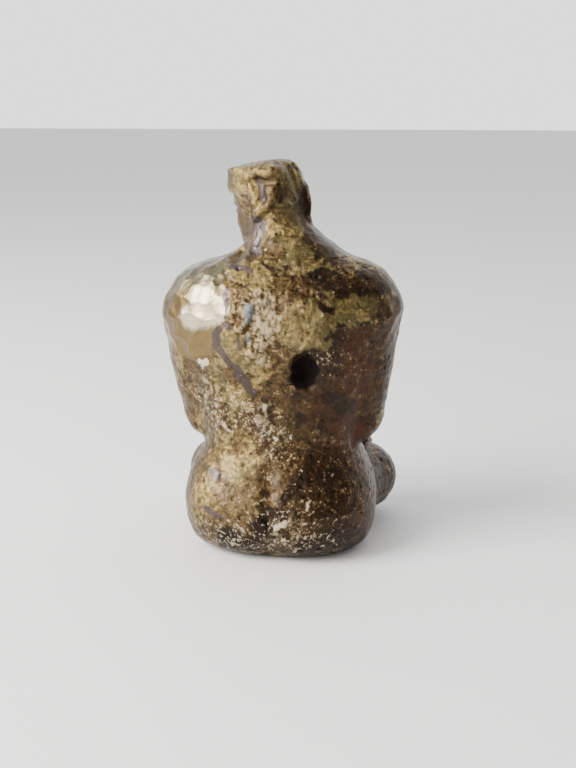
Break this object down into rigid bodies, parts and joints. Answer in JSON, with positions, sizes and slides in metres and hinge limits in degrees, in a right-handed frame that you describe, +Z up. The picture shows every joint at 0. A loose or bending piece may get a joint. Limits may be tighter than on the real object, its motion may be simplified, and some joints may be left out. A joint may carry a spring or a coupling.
{
  "type": "figurine",
  "caption": "Small seated figure with massive rounded shoulders, a turned head and crossed legs, cast in hollow bronze sections that are pinned together, on a felt pad.",
  "frame": {"origin": "middle of the underside of the felt pad, at the bottom centre of the overall box", "axes": "+Z up through the crown, the figure's chest, shins and hands towards -Y, its left side towards +X"},
  "size_m": [0.0498, 0.042, 0.0799],
  "materials": {
    "bronze": "uneven brown patina over yellow bronze, waxed",
    "dowel": "bright drawn rod",
    "disc": "turned and dulled",
    "felt": "dense felt"
  },
  "bodies": {
    "root": {"torso": "bronze", "head": "bronze", "left_arm": "bronze", "right_arm": "bronze", "hips": "bronze", "left_leg": "bronze", "right_leg": "bronze", "neck_dowel": "dowel", "shoulder_dowels": "dowel", "thigh_dowels": "dowel", "core_plugs": "bronze", "base_disc": "disc", "felt_pad": "felt"}
  },
  "joints": []
}
